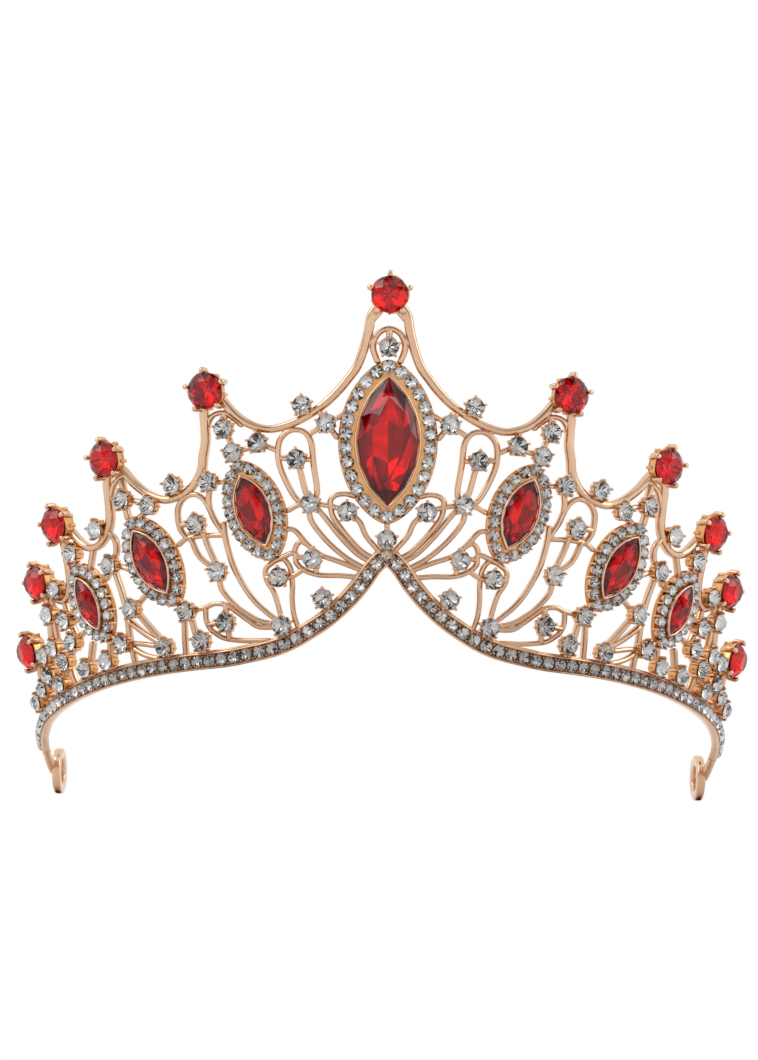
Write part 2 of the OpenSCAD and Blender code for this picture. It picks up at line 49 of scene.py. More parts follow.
# ---------------------------------------------------------------- wall shape, as in the CAD source (mm)
FLARE, STAND = radians(20), radians(4)
RR, BRK = [92.0, 77.0, 69.0, 150.0], [25.0, 80.0, 115.0]
BAND_H, BAND_T, PITCH, COUNT = 3.6, 2.0, 2.9, 44
EYE_OD, EYE_ID, EYE_T = 11.0, 6.0, 2.0
PEAK_D, SMALL_D, BAND_D = 8.0, 4.1, 2.6
RIM_W, WIRE_W = 1.7, 1.15
EYE_S, EYE_H, EYE_IN, SHIFT_Y = 135.5, -3.55, 1.2, -29.1

A1 = BRK[0] / RR[0]
A2 = A1 + (BRK[1] - BRK[0]) / RR[1]
A3 = A2 + (BRK[2] - BRK[1]) / RR[2]
P1 = (RR[0] * sin(A1), RR[0] * (1 - cos(A1)))
P2 = (P1[0] + RR[1] * (sin(A2) - sin(A1)), P1[1] + RR[1] * (cos(A1) - cos(A2)))
P3 = (P2[0] + RR[2] * (sin(A3) - sin(A2)), P2[1] + RR[2] * (cos(A2) - cos(A3)))


def turn(s):
    s = abs(s)
    if s < BRK[0]:
        return s / RR[0]
    if s < BRK[1]:
        return A1 + (s - BRK[0]) / RR[1]
    if s < BRK[2]:
        return A2 + (s - BRK[1]) / RR[2]
    return A3 + (s - BRK[2]) / RR[3]


def plan(s):
    s = abs(s)
    t = turn(s)
    if s < BRK[0]:
        return (RR[0] * sin(t), RR[0] * (1 - cos(t)))
    if s < BRK[1]:
        return (P1[0] + RR[1] * (sin(t) - sin(A1)), P1[1] + RR[1] * (cos(A1) - cos(t)))
    if s < BRK[2]:
        return (P2[0] + RR[2] * (sin(t) - sin(A2)), P2[1] + RR[2] * (cos(A2) - cos(t)))
    return (P3[0] + RR[3] * (sin(t) - sin(A3)), P3[1] + RR[3] * (cos(A3) - cos(t)))


def wall(s, h, o=0.0):
    t, c = turn(s), plan(s)
    d = h * sin(FLARE) + o * cos(FLARE)
    x, y = c[0] + sin(t) * d, c[1] - cos(t) * d
    return (-x if s < 0 else x, y, h * cos(FLARE) - o * sin(FLARE))


def tilt(p):
    return (p[0], p[1] * cos(STAND) - p[2] * sin(STAND), p[1] * sin(STAND) + p[2] * cos(STAND))


EYE_N = sin(STAND) * cos(turn(EYE_S))
FOOT_F = tilt(wall(33, -0.7 - BAND_H / 2, BAND_T / 2))[2]
FOOT_R = tilt(wall(EYE_S, EYE_H, -EYE_IN))[2] - EYE_OD / 2 * sqrt(1 - EYE_N * EYE_N) - abs(EYE_N) * EYE_T / 2
LIFT = -min(FOOT_F, FOOT_R)


def world(p):
    x, y, z = tilt(p)
    return (x, y + SHIFT_Y, z + LIFT)


def pt(s, h, o=0.0):
    return world(wall(s, h, o))


def place(s, h, spin=0.0):
    """Local x along the band, y up the wall, z out of it, to the row frame; s is not negative."""
    t, c = turn(s), plan(s)
    ex = (cos(t), sin(t), 0.0)
    up = (sin(t) * sin(FLARE), -cos(t) * sin(FLARE), cos(FLARE))
    out = (sin(t) * cos(FLARE), -cos(t) * cos(FLARE), -sin(FLARE))
    a = radians(spin)

    def f(p):
        x, y, z = p
        u, v = x * cos(a) - y * sin(a), x * sin(a) + y * cos(a) + h
        return world(tuple((c[0], c[1], 0.0)[i] + ex[i] * u + up[i] * v + out[i] * z for i in range(3)))

    return f


# ---------------------------------------------------------------- layout (the same design numbers as the CAD)
peaks = [(32, 56.5), (54, 46.5), (70, 36.5), (80.5, 26.5), (92.5, 14)]
peak0 = (0, 74.5)
set0 = (0, 43.5, 27, 13, 0, 15.9, 9, 26)
sets = [(25.5, 30, 15, 7, 16, 10, 5.2, 18), (48.25, 22.5, 15, 7, 22, 9.8, 5.1, 18), (66.5, 17.5, 12, 5.5, 15, 8.3, 4.7, 16)]
small0 = [(0, 63.5), (0, 22.75)]
small = [(15.25, 51.5), (11, 47.5), (29.75, 48), (23.75, 44.25), (28.5, 42.75),
    (16.75, 40.25), (33.75, 37.25), (14.5, 30.75), (7.5, 28.75), (14.5, 19),
    (21.5, 15.5), (37.25, 28.75), (34, 18), (21.5, 5.25), (12.75, 10.5),
    (33.5, 7), (42, 10.5), (39.5, 3.75), (41, 37.75), (46.75, 34.5),
    (52.25, 37), (60, 32.5), (58.5, 24), (68, 29.25), (55.25, 13.5),
    (48.5, 3.75), (59.5, 6.75), (65, 4), (72.25, 4), (75.25, 16),
    (74.75, 10.75), (79.25, 7.5), (75.75, 23.25), (80.75, 19), (82.25, 11.5),
    (87, 11.25, 30), (87.5, 6.5, 48), (83.5, 3.5), (92.25, 4.75), (98.25, 3.5)]
band_keys = [(0, 19.5), (2.5, 17), (5, 13.25), (8, 9.75), (12, 6.25), (16, 3.75),
    (20, 1.75), (24, 0.5), (29, -0.25), (35, -0.7), (42, -0.5), (55, 0), (72, 0.3),
    (95, 0.2), (107, -0.2), (118, -0.7), (126, -1.7), (132, -3.4)]
rims = [[(0, 74.5), (2.75, 71), (3.5, 67), (4.25, 63.5), (5.5, 59.5), (7, 57), (8.75, 54.5),
        (11, 52), (13.5, 50), (16, 48.5), (18.5, 47.5), (21.5, 47), (24.5, 48),
        (26.75, 49.75), (28.5, 52), (30, 54.5), (32, 56.5)],
    [(32, 56.5), (33.25, 53.5), (33.5, 49.5), (33.75, 46), (34.5, 43), (35, 40.5), (36, 38.5),
        (37.5, 36.75), (39.5, 35.5), (41.5, 35), (43.5, 35), (46, 36.25),
        (48, 38), (50, 40.5), (51.75, 43.5), (54, 46.5)],
    [(54, 46.5), (55.25, 43.5), (56, 41), (56.25, 38), (56.75, 34.5), (57.75, 32), (59.5, 30),
        (61.5, 29), (63.75, 29.25), (65.5, 30.5), (67, 32.5), (68.25, 34.5), (70, 36.5)],
    [(70, 36.5), (70.75, 33.5), (71, 30), (71.25, 26.5), (72, 23.5), (73.5, 21.25),
        (75.5, 20.5), (77.5, 21.5), (79, 23.75), (80.5, 26.5)],
    [(80.5, 26.5), (81.5, 23.5), (82.25, 20), (83, 16.5), (84.25, 13.25), (86.5, 10),
        (89, 9), (91, 11), (92.5, 14)],
    [(92.5, 14), (93.75, 11), (95, 8), (96.75, 5), (99, 2.75), (102, 1.5)]]
crest = [[(-2, 60.5), (-2.75, 63.5), (-2, 66.25), (0, 67.5), (2, 66.25), (2.75, 63.5), (2, 60.5)],
    [(0, 65.5), (0, 67.5)],
    [(-4.25, 63.5), (-2.25, 65.75)],
    [(4.25, 63.5), (2.25, 65.75)],
    [(-3.4, 68.5), (-1.6, 71)],
    [(3.4, 68.5), (1.6, 71)],
    [(0, 19.5), (0, 22.75), (0, 26)]]
front = [[(14.5, 30.75), (17, 31.5), (19, 35.5), (20.25, 40), (20, 44), (18.5, 46), (16.75, 46.5),
        (15, 45.75), (14, 43.5), (13.75, 39), (13.25, 33), (14.5, 30.75)],
    [(16.75, 40.25), (16.25, 37.5), (15.5, 33.5), (14.5, 30.75)],
    [(13.75, 40), (16.75, 40.25), (20.25, 40.75)],
    [(18.25, 46.25), (20, 47.5)],
    [(14.5, 45.25), (11, 47.5), (7.75, 49.5)],
    [(12.5, 50.5), (11, 47.5), (9.25, 44.5)],
    [(14.5, 30.75), (14.75, 27.5), (12, 23), (8, 19), (4, 16.5)],
    [(14.5, 30.75), (12.5, 28.5), (9.25, 23.75), (5.75, 19.75), (2.5, 17.75)],
    [(10.75, 30), (10.25, 27.5), (7.25, 23), (4.5, 20), (1.75, 18.5)],
    [(7.5, 28.75), (5.25, 26.5), (4, 23.5), (1.25, 20)],
    [(10.75, 30), (10.75, 31.25), (9.75, 32.25), (8, 32.5), (6.25, 32)],
    [(14.5, 30.75), (10.75, 30), (7.5, 28.75)],
    [(14.5, 30.75), (17, 30.5), (19, 29.5)],
    [(20, 25.5), (18, 25.25), (15.5, 22), (13, 19.75), (9.5, 18.25), (4.25, 16)],
    [(18.25, 20.5), (17.75, 22), (16.75, 22.75), (15.5, 22)],
    [(22.25, 19), (18.25, 20.5), (18, 18.5), (16.5, 16.75), (13.5, 15.5), (9.5, 15.25), (5, 14.75)],
    [(14, 15.75), (14.5, 19), (18, 19.5)],
    [(14.5, 19), (14.5, 21.25)],
    [(22.25, 19), (24.25, 17.5), (24.25, 15), (23, 12.5), (22.25, 9.5), (21.5, 5.25)],
    [(22.25, 19), (20.5, 19.25), (19.25, 17.25), (19, 14), (19.25, 10.5), (19, 7), (18, 3.75)],
    [(24.25, 15.5), (21.5, 15.5), (19, 15.5), (16.75, 16.75)],
    [(32, 28), (32, 25.5), (31.75, 23), (31.25, 20), (30.5, 17.5), (29.25, 14.5), (27.75, 11.75),
        (25.75, 9.25), (21.5, 5.25)],
    [(34, 18), (34, 14.25), (31.5, 10.5), (29, 8.25), (26.25, 6.5), (21.5, 5.25)],
    [(42, 10.5), (38, 10.75), (36, 11.25), (33.5, 10.75), (31.25, 9), (29, 7),
        (26.5, 5.25), (21.5, 5)],
    [(38, 10.75), (38.25, 8), (37.5, 6), (36.5, 5), (34.75, 3.75), (32, 3), (28.5, 2.5), (24.5, 2.25)],
    [(33.5, 10.75), (33.5, 7), (33.5, 3.5)],
    [(33.5, 7), (37.75, 7)],
    [(40, 26), (41.25, 28.5), (41.25, 32), (40.25, 34), (38.75, 35), (37, 35), (35.5, 33.75),
        (34.5, 31.5), (33.75, 29), (32, 25.5)],
    [(38.75, 35), (38.25, 36.75)],
    [(42, 25), (40, 26), (36.25, 26), (32, 25.5)],
    [(36.25, 26), (37.25, 28.75), (41, 29)],
    [(36.25, 26), (35.75, 23.5), (34, 18)],
    [(39.25, 26), (37.75, 21.5), (34, 18)],
    [(33.75, 46), (33, 49.5), (31.75, 51.25), (29.75, 51.5), (28, 50), (26.75, 48.5)],
    [(29.75, 51.5), (29.75, 48), (28.5, 42.75), (28.75, 41)],
    [(24.25, 47.75), (23.75, 44.25), (28.5, 42.75)],
    [(23.75, 44.25), (20.25, 42.25)],
    [(31, 36.75), (33.75, 37.25), (36, 38.5)],
    [(33.75, 37.25), (34.5, 33.5), (34.5, 31.5)],
    [(12.75, 10.5), (11.5, 8)],
    [(21.5, 5.25), (21.5, 2.75)]]
flank = [[(39.5, 1.25), (39.5, 3.75), (41, 5)],
    [(44, 12), (42, 10.5), (41.25, 6), (40.5, 1.25)],
    [(43, 11.25), (43.75, 6), (44.25, 1.25)],
    [(47.5, 37.5), (46.75, 34.5), (50, 32.5)],
    [(50.5, 41), (52, 42.25), (54.25, 41), (55.75, 38.5)],
    [(46.75, 34.5), (52.25, 37), (52.5, 33)],
    [(52.25, 37), (52.5, 41.5)],
    [(58.25, 31.5), (56.75, 29.25), (57, 26.5), (58.5, 24), (57.75, 18), (57.5, 13), (58, 8), (58, 1.75)],
    [(54.5, 22), (58.5, 24), (61, 21.5)],
    [(51.75, 15.75), (55.25, 13.5), (57.5, 13.5)],
    [(55.25, 13.5), (53, 10), (48.5, 3.75)],
    [(57.5, 11.5), (53.5, 7.5), (48.5, 3.75)],
    [(59.5, 6.75), (54.5, 5.5), (48.5, 3.5)],
    [(58, 5.5), (55, 3.25), (51.5, 1.75)],
    [(48.5, 3.75), (48.5, 1.25)],
    [(59.5, 6.75), (62.75, 9)],
    [(64, 8), (65, 4), (65, 1.75)],
    [(62.75, 29), (65, 24.75)],
    [(69, 27), (68, 29.25), (67, 32.5)],
    [(68, 29.25), (71, 29)],
    [(69.5, 9), (72.25, 4), (72.25, 2)],
    [(72.5, 16), (75.25, 16), (80.75, 19), (82.5, 19)],
    [(75.5, 20.5), (75.25, 16), (74.75, 10.75), (79.25, 7.5), (79.25, 2)],
    [(71.75, 12), (74.75, 10.75)],
    [(79.5, 23.5), (80.75, 19), (82.25, 11.5), (83.5, 3.75), (83.5, 2)],
    [(79.25, 7.5), (82.25, 11.5), (86.75, 11), (87.5, 6.75), (87.5, 2)],
    [(79.25, 7.5), (83.5, 3.75), (87.5, 6.75), (92.25, 4.75), (98.25, 3.5), (98.25, 1.75)],
    [(92.5, 13), (92.25, 4.75), (92.25, 2)]]


# ---------------------------------------------------------------- curves on the flat layout
def pick(p, i):
    if i < 0:
        return (2 * p[0][0] - p[1][0], 2 * p[0][1] - p[1][1])
    if i >= len(p):
        return (2 * p[-1][0] - p[-2][0], 2 * p[-1][1] - p[-2][1])
    return p[i]


def smooth(p, n):
    out = []
    for i in range(len(p) - 1):
        a, b, c, d = (pick(p, i + k) for k in (-1, 0, 1, 2))
        for k in range(n):
            u = k / n
            out.append(tuple(0.5 * (2 * b[j] + (c[j] - a[j]) * u + (2 * a[j] - 5 * b[j] + 4 * c[j] - d[j]) * u * u
                + (3 * b[j] - a[j] - 3 * c[j] + d[j]) * u ** 3) for j in (0, 1)))
    out.append(p[-1])
    return out


def unit2(x, y):
    n = max(hypot(x, y), 1e-9)
    return (x / n, y / n)


bp = smooth(band_keys, 6)
bl = [0.0]
for i in range(1, len(bp)):
    bl.append(bl[-1] + math.dist(wall(*bp[i]), wall(*bp[i - 1])))


def band_at(l):
    l = min(max(l, 0.0), bl[-1])
    for i in range(1, len(bl)):
        if l <= bl[i]:
            f = (l - bl[i - 1]) / (bl[i] - bl[i - 1])
            return (bp[i - 1][0] + f * (bp[i][0] - bp[i - 1][0]), bp[i - 1][1] + f * (bp[i][1] - bp[i - 1][1]))
    return bp[-1]


def band_dir(l):
    if l < 0.01:
        return (1.0, 0.0)
    a, b = band_at(l - 0.5), band_at(l + 0.5)
    return unit2(b[0] - a[0], b[1] - a[1])


BAND_LEN = (COUNT + 0.5) * PITCH


# ---------------------------------------------------------------- mesh building
class Shape:
    def __init__(self):
        self.v, self.f, self.m, self.s = [], [], [], []

    def add(self, verts, faces, mat=0, soft=True, flip=False):
        k = len(self.v)
        self.v += [tuple(p) for p in verts]
        for i, face in enumerate(faces):
            g = [k + j for j in face]
            self.f.append(g[::-1] if flip else g)
            self.m.append(mat[i] if isinstance(mat, (list, tuple)) else mat)
            self.s.append(soft)

    def mirrored(self):
        o = Shape()
        o.v = [(-x, y, z) for x, y, z in self.v]
        o.f = [g[::-1] for g in self.f]
        o.m, o.s = list(self.m), list(self.s)
        return o


def loops(rings, closed_ring=True, closed_path=False):
    """Quads between rings of the same number of points."""
    n, k, faces = len(rings), len(rings[0]), []
    for i in range(n if closed_path else n - 1):
        a, b = i * k, ((i + 1) % n) * k
        for j in range(k if closed_ring else k - 1):
            j2 = (j + 1) % k
            faces.append([a + j, a + j2, b + j2, b + j])
    return [p for r in rings for p in r], faces


def rounded(w, t, r, n=2):
    """Rounded rectangle section, counter-clockwise; u across, v through."""
    pts = []
    for cx, cy, a0 in ((w / 2 - r, t / 2 - r, 0), (-w / 2 + r, t / 2 - r, 90), (-w / 2 + r, -t / 2 + r, 180), (w / 2 - r, -t / 2 + r, 270)):
        for k in range(n + 1):
            a = radians(a0 + 90 * k / n)
            pts.append((cx + r * cos(a), cy + r * sin(a)))
    return pts


def wire(shape, path, w=WIRE_W, t=1.6, n=4, o=0.0, closed=False, mat=0, taper=True):
    p = smooth(path, n) if len(path) > 2 else [path[0], ((path[0][0] + path[1][0]) / 2, (path[0][1] + path[1][1]) / 2), path[1]]
    sec = rounded(w, t, min(w, t) * 0.46, 3)
    rings = []
    last = len(p) - 1
    for i, q in enumerate(p):
        a, b = (p[(i - 1) % last], p[(i + 1) % last]) if closed and i in (0, last) else (pick(p, i - 1), pick(p, i + 1))
        d = unit2(b[0] - a[0], b[1] - a[1])
        if i == 0 and not closed and taper:
            for back, scale in ((0.42, 0.45), (0.3, 0.75), (0.12, 0.95)):
                c = (q[0] - d[0] * w * back, q[1] - d[1] * w * back)
                rings.append([pt(c[0] - d[1] * u * scale, c[1] + d[0] * u * scale, o + v * scale) for u, v in sec])
        rings.append([pt(q[0] - d[1] * u, q[1] + d[0] * u, o + v) for u, v in sec])
        if i == last and not closed and taper:
            for on, scale in ((0.12, 0.95), (0.3, 0.75), (0.42, 0.45)):
                c = (q[0] + d[0] * w * on, q[1] + d[1] * w * on)
                rings.append([pt(c[0] - d[1] * u * scale, c[1] + d[0] * u * scale, o + v * scale) for u, v in sec])
    if closed:
        rings.pop()
    v, f = loops(rings, True, closed)
    if not closed:
        k = len(sec)
        f.append(list(range(k))[::-1])
        f.append([len(v) - k + j for j in range(k)])
    shape.add(v, f, mat, True, flip=False)


def lathe(shape, at, profile, n, mat=0, soft=True, twist=0.0, ribs=0.0, nribs=0, squash=1.0):
    """Turned form: profile is [(r, z), ...] outside upwards."""
    rings = []
    for r, z in profile:
        ring = []
        for k in range(n):
            a = 2 * pi * k / n + twist
            rr = r * (1 + ribs * cos(nribs * a)) if ribs else r
            ring.append(at((rr * cos(a), rr * sin(a) * squash, z)))
        rings.append(ring)
    v, f = loops(rings)
    shape.add(v, f, mat, soft)
    return rings


def cap(shape, ring, mat=0, up=True):
    n = len(ring)
    shape.add(ring, [list(range(n)) if up else list(range(n))[::-1]], mat, False)


def bead(shape, at, x, y, z, r, h=None, n=8, mat=0):
    """Small domed bead standing on its post from z - h to z."""
    prof = [] if h is None else [(r * 0.92, z - h), (r * 0.86, z - h * 0.5), (r * 0.9, z - 0.15)]
    prof += [(r, z + 0.02), (r * 0.93, z + r * 0.45), (r * 0.62, z + r * 0.82), (r * 0.2, z + r * 0.97)]
    rings = lathe(shape, lambda p: at((p[0] + x, p[1] + y, p[2])), prof, n, mat)
    cap(shape, rings[-1], mat)


# ---------------------------------------------------------------- stones
# PAINTED_DARK is the near-black foil: painted dark reflections on some lower facets and painted shade on the girdle
# band
CROWN, FOIL, PAINTED_DARK = 0, 1, 2


def brilliant(shape, at, R, z0, crown, deep, girdle=0.15, table=0.52, turn_by=0.0, rnd=None, dark=0.26):
    """Round stone: clear crown facets over foil-backed lower facets, some of them painted dark as painted reflections;
    the girdle band is painted dark as painted shade.
    """
    def ring(n, r, z, off=0.0):
        return [at((r * cos(2 * pi * (k + off) / n + turn_by), r * sin(2 * pi * (k + off) / n + turn_by), z)) for k in range(n)]
    zt = z0 + girdle + crown
    v = ring(8, R * table, zt) + ring(8, R * 0.82, z0 + girdle + crown * 0.5, 0.5) + ring(16, R, z0 + girdle)
    f = [list(range(8))]
    for i in range(8):
        j = (i + 1) % 8
        f.append([i, 8 + i, j])
        f.append([i, 8 + (i - 1) % 8, 16 + 2 * i, 8 + i])
        f.append([8 + i, 16 + 2 * i, 16 + 2 * i + 1])
        f.append([8 + i, 16 + 2 * i + 1, 16 + (2 * i + 2) % 16])
    shape.add(v, f, CROWN, False)
    # girdle band in the near-black foil: painted shade between the stone and its cup
    v, f = loops([ring(16, R, z0), ring(16, R, z0 + girdle)])
    shape.add(v, f, PAINTED_DARK, False)
    v = [at((0, 0, z0 - deep))] + ring(8, R * 0.46, z0 - deep * 0.62, 0.5) + ring(16, R, z0)
    f, mt = [], []

    def shade(share):
        return PAINTED_DARK if rnd is not None and rnd.random() < share else FOIL

    for i in range(8):
        # each long facet is split down its middle, so the halves can differ
        f.append([0, 1 + i, 9 + 2 * i]); mt.append(shade(dark * 0.8))
        f.append([0, 9 + 2 * i, 1 + (i - 1) % 8]); mt.append(shade(dark * 0.8))
        f.append([1 + i, 9 + 2 * i + 1, 9 + 2 * i]); mt.append(shade(dark))
        f.append([1 + i, 9 + (2 * i + 2) % 16, 9 + 2 * i + 1]); mt.append(shade(dark))
    shape.add(v, f, mt, False)


def lens_r(l, w):
    return (l * l + w * w) / (4 * w)


def lens_pts(l, w, n):
    """Pointed oval, n points a side, counter-clockwise from the lower tip; tips on the y axis."""
    r = lens_r(l, w)
    a = math.asin(min(1.0, l / 2 / r))
    right = [(-(r - w / 2) + r * cos(-a + 2 * a * k / n), r * sin(-a + 2 * a * k / n)) for k in range(n)]
    return right + [(-x, -y) for x, y in right]


def navette(shape, at, l, w, z0, girdle, crown, deep):
    n = 6
    g = lens_pts(l, w, n)
    m = lens_pts(l * 0.80, w * 0.78, n)
    t = [(x * 0.40, y * 0.70) for x, y in lens_pts(l, w, 4)]
    zt = z0 + girdle + crown
    # crown: outline, mid ring turned half a step, table
    mid = []
    for i in range(2 * n):
        x0, y0 = m[i]
        x1, y1 = m[(i + 1) % (2 * n)]
        mid.append(((x0 + x1) / 2, (y0 + y1) / 2))
    v = [at((x, y, z0 + girdle)) for x, y in g] + [at((x, y, z0 + girdle + crown * 0.55)) for x, y in mid]
    f = []
    for i in range(2 * n):
        j = (i + 1) % (2 * n)
        f.append([i, j, 2 * n + i])
        f.append([2 * n + i, j, 2 * n + j])
    shape.add(v, f, CROWN, False)
    # from the mid ring to the table, fanned to the nearest table corner
    k0 = len(mid)
    v = [at((x, y, z0 + girdle + crown * 0.55)) for x, y in mid] + [at((x, y, zt)) for x, y in t]
    near = [min(range(len(t)), key=lambda q: (t[q][0] - x) ** 2 * 2.2 + (t[q][1] - y) ** 2) for x, y in mid]
    f = []
    for i in range(k0):
        j = (i + 1) % k0
        if near[i] == near[j]:
            f.append([i, j, k0 + near[i]])
        else:
            f.append([i, j, k0 + near[j]])
            f.append([i, k0 + near[j], k0 + near[i]])
    f.append([k0 + q for q in range(len(t))])
    shape.add(v, f, CROWN, False)
    v, f = loops([[at((x, y, z0)) for x, y in g], [at((x, y, z0 + girdle)) for x, y in g]])
    shape.add(v, f, CROWN, False)
    # lower facets to a short keel, some of them painted dark as painted reflections
    keel = [(0, -l * 0.17), (0, l * 0.17)]
    q = lens_pts(l * 0.58, w * 0.5, 3)
    v = [at((x, y, z0)) for x, y in g] + [at((x, y, z0 - deep * 0.62)) for x, y in q] + [at((x, y, z0 - deep)) for x, y in keel]
    G, Q = 2 * n, 6
    f, mt = [], []
    for i in range(G):
        j = (i + 1) % G
        a, b = (i * Q) // G, ((i + 1) * Q // G) % Q
        shade = PAINTED_DARK if i % 4 == 1 else FOIL
        f.append([j, i, G + a])
        mt.append(shade)
        if a != b:
            f.append([j, G + a, G + b])
            mt.append(FOIL if shade == PAINTED_DARK else PAINTED_DARK)
    for i in range(Q):
        j = (i + 1) % Q
        ki = G + Q + (0 if q[i][1] < 0.01 else 1)
        kj = G + Q + (0 if q[j][1] < 0.01 else 1)
        f.append([G + j, G + i, ki] if ki == kj else [G + j, G + i, ki, kj])
        mt.append(PAINTED_DARK if i in (1, 5) else FOIL)
    shape.add(v, f, mt, False)


def claw_cup(shape, at, R, rim, deep, claws, cr, tall, rings_at=(0.2,), legs=0.0):
    """Cast claw cup: ribbed tapered wall, floor, and claws with domed tips."""
    n = claws * 6
    prof = [(R * 0.80, -0.7), (R * 0.86, -0.45), (R * 0.86, 0.0), (R * 0.93, 0.3), (R * 0.95, rim * 0.55), (R + 0.05, rim - 0.25), (R + 0.08, rim - 0.06), (R, rim)]
    inner = [(R - 0.22, rim - 0.02), (R * 0.86, rim - 0.5), (R * 0.72, rim - deep * 0.72), (R * 0.2, rim - deep)]
    a0 = radians(90)
    # outer wall, inner wall and floors take material 1, the darker amber gold of painted recess shade
    rg = lathe(shape, at, prof, n, 1, True, a0, 0.035, claws)
    r2 = lathe(shape, at, inner, n, 1, True, a0)
    v, f = loops([rg[-1], r2[0]])
    shape.add(v, f, 0, True)
    cap(shape, rg[0], 1, False)
    cap(shape, r2[-1], 1, True)
    for k in range(claws):
        a = a0 + 2 * pi * k / claws
        c, s = cos(a), sin(a)
        # claw: a tapering post leaning out, then a bead bent over the stone
        sec = []
        for r, z, q in ((R * 0.86, -0.5, 0.75), (R * 0.95, 0.2, 0.85), (R + cr * 0.85, rim * 0.5, 0.95), (R + cr * 0.95, rim + 0.1, 0.95), (R + cr * 0.85, rim + tall * 0.55, 1.0), (R + cr * 0.55, rim + tall * 0.85, 0.95), (R + cr * 0.3, rim + tall, 0.62), (R + cr * 0.2, rim + tall + 0.06, 0.2)):
            sec.append([at((c * r + cos(2 * pi * j / 8) * cr * q, s * r + sin(2 * pi * j / 8) * cr * q, z)) for j in range(8)])
        v, f = loops(sec)
        shape.add(v, f, 0, True)
        cap(shape, sec[-1], 0, True)
        # webs between claw feet, seen as ribs from the side, in the darker amber gold as painted shade
        b = a + pi / claws
        bead(shape, at, cos(b) * R * 0.93, sin(b) * R * 0.93, rim * 0.35, cr * 0.8, rim * 0.35 + 0.4, 6, 1)


# ---------------------------------------------------------------- materials
def new_mat(name):
    m = bpy.data.materials.new(name)
    m.use_nodes = True
    nt = m.node_tree
    b = nt.nodes["Principled BSDF"]
    return m, nt, b


def metal(name, low, high, rough, bump=0.12, scale=900.0):
    """Cast and plated metal: slow colour drift, cloudy roughness and a fine cast skin."""
    m, nt, b = new_mat(name)
    N, L = nt.nodes.new, nt.links.new
    tc = N("ShaderNodeTexCoord")
    n1 = N("ShaderNodeTexNoise"); n1.inputs["Scale"].default_value = 110; n1.inputs["Detail"].default_value = 3
    n2 = N("ShaderNodeTexNoise"); n2.inputs["Scale"].default_value = scale; n2.inputs["Detail"].default_value = 4
    n3 = N("ShaderNodeTexNoise"); n3.inputs["Scale"].default_value = 330; n3.inputs["Detail"].default_value = 2
    for n in (n1, n2, n3):
        L(tc.outputs["Object"], n.inputs["Vector"])
    r1 = N("ShaderNodeValToRGB")
    r1.color_ramp.elements[0].position, r1.color_ramp.elements[0].color = 0.32, (*low, 1)
    r1.color_ramp.elements[1].position, r1.color_ramp.elements[1].color = 0.68, (*high, 1)
    L(n1.outputs["Fac"], r1.inputs["Fac"]); L(r1.outputs["Color"], b.inputs["Base Color"])
    r2 = N("ShaderNodeMapRange")
    r2.inputs["To Min"].default_value, r2.inputs["To Max"].default_value = rough[0], rough[1]
    r2.inputs["From Min"].default_value, r2.inputs["From Max"].default_value = 0.3, 0.7
    L(n3.outputs["Fac"], r2.inputs["Value"]); L(r2.outputs["Result"], b.inputs["Roughness"])
    ad = N("ShaderNodeMath"); ad.operation = "ADD"
    L(n2.outputs["Fac"], ad.inputs[0]); L(n3.outputs["Fac"], ad.inputs[1])
    bm = N("ShaderNodeBump"); bm.inputs["Strength"].default_value = bump; bm.inputs["Distance"].default_value = 0.00012
    L(ad.outputs["Value"], bm.inputs["Height"]); L(bm.outputs["Normal"], b.inputs["Normal"])
    b.inputs["Metallic"].default_value = 1.0
    return m


GOLD = metal("gold_plated_cast", (0.68, 0.44, 0.285), (0.79, 0.53, 0.355), (0.12, 0.24))
# darker, deeper amber gold for cup walls and floors, webs, base plates, low grains and joint strips: painted shade of
# the recesses
RECESS_SHADE_GOLD = metal("gold_recess_painted_shade", (0.72, 0.36, 0.13), (0.82, 0.44, 0.19), (0.18, 0.34), 0.2)
SMOOTH_GOLD = metal("gold_bezel", (0.78, 0.52, 0.37), (0.86, 0.60, 0.44), (0.10, 0.20), 0.05)


def stone_mat(name, colour, ior=1.6):
    m, nt, b = new_mat(name)
    N, L = nt.nodes.new, nt.links.new
    tc = N("ShaderNodeTexCoord")
    n1 = N("ShaderNodeTexNoise"); n1.inputs["Scale"].default_value = 500; n1.inputs["Detail"].default_value = 2
    L(tc.outputs["Object"], n1.inputs["Vector"])
    mr = N("ShaderNodeMapRange")
    mr.inputs["To Min"].default_value, mr.inputs["To Max"].default_value = 0.0, 0.03
    L(n1.outputs["Fac"], mr.inputs["Value"]); L(mr.outputs["Result"], b.inputs["Roughness"])
    b.inputs["Base Color"].default_value = (*colour, 1)
    b.inputs["Transmission Weight"].default_value = 1.0
    b.inputs["IOR"].default_value = ior
    return m


def foil_mat(name, low, high, rough=0.05, metallic=1.0):
    m, nt, b = new_mat(name)
    N, L = nt.nodes.new, nt.links.new
    tc = N("ShaderNodeTexCoord")
    n1 = N("ShaderNodeTexNoise"); n1.inputs["Scale"].default_value = 420; n1.inputs["Detail"].default_value = 1
    L(tc.outputs["Object"], n1.inputs["Vector"])
    r1 = N("ShaderNodeValToRGB")
    r1.color_ramp.elements[0].position, r1.color_ramp.elements[0].color = 0.35, (*low, 1)
    r1.color_ramp.elements[1].position, r1.color_ramp.elements[1].color = 0.65, (*high, 1)
    L(n1.outputs["Fac"], r1.inputs["Fac"]); L(r1.outputs["Color"], b.inputs["Base Color"])
    b.inputs["Metallic"].default_value = metallic
    b.inputs["Roughness"].default_value = rough
    return m


